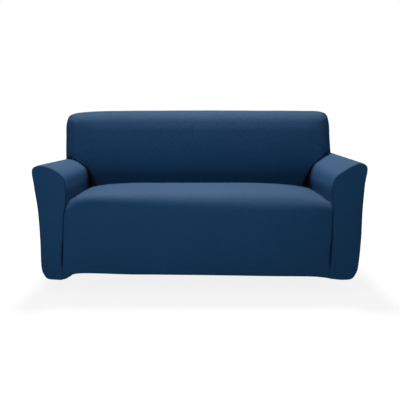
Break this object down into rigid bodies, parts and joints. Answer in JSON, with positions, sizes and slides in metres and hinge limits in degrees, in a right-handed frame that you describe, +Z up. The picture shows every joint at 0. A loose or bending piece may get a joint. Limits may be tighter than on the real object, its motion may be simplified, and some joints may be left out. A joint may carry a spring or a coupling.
{
  "type": "fitted stretch slipcover for a two-seat sofa",
  "caption": "Fitted one-piece stretch-knit slipcover in navy for a flared-arm sofa, hollow, with tucked crevices and a hem that drops over the legs.",
  "frame": {"origin": "the underside of the top of the back, in the middle of its length, where the sofa's backrest carries the cover", "axes": "+X to the right as seen from the front, +Y towards the back, +Z up; the floor is at Z -0.920"},
  "size_m": [1.6028, 0.832, 0.8301],
  "materials": {
    "knit": "matt navy stretch knit with a small raised diamond texture"
  },
  "bodies": {
    "root": {"inside_back": "knit", "back_strip": "knit", "outside_back": "knit", "seat_and_front": "knit", "arm_wrap_left": "knit", "arm_wrap_right": "knit", "arm_front_left": "knit", "arm_front_right": "knit"}
  },
  "joints": []
}
